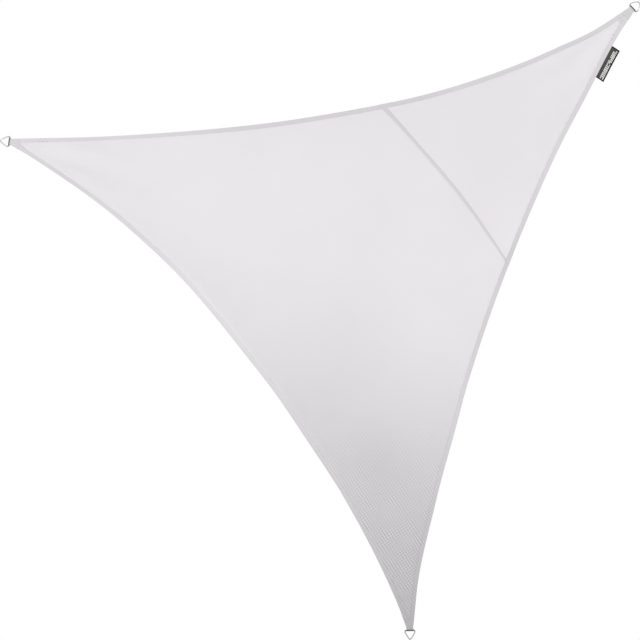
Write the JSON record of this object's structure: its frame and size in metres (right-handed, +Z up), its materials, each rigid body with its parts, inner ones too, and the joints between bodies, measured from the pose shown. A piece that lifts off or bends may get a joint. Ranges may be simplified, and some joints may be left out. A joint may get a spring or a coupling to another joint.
{
  "type": "shade sail",
  "caption": "Triangular shade sail in pale knitted cloth with hollow hemmed edges, a lap seam across one corner, a folded side tag, and a delta ring on a webbing loop at each corner.",
  "frame": {"origin": "tip of the top right corner's ring, on the middle line of its wire", "axes": "+Z up, the sail stands upright in the XZ plane and swells towards -Y, the side the picture shows; +X to the right as seen from that side"},
  "size_m": [2.9123, 0.1635, 2.9038],
  "materials": {
    "cloth": "near-white knitted polyethylene shade cloth, matt, slightly see-through in strong light",
    "patch": "the same cloth doubled and stitched through as a corner reinforcement",
    "webbing": "grey woven polyester webbing, matt",
    "steel": "polished stainless round wire, welded",
    "label": "dark woven tag, matt"
  },
  "bodies": {
    "root": {"panel_main": "cloth", "panel_corner": "cloth", "label": "label", "ring_left": "steel", "webbing_left": "webbing", "patch_left_front": "patch", "patch_left_back": "patch", "ring_top": "steel", "webbing_top": "webbing", "patch_top_front": "patch", "patch_top_back": "patch", "ring_bottom": "steel", "webbing_bottom": "webbing", "patch_bottom_front": "patch", "patch_bottom_back": "patch"}
  },
  "joints": []
}
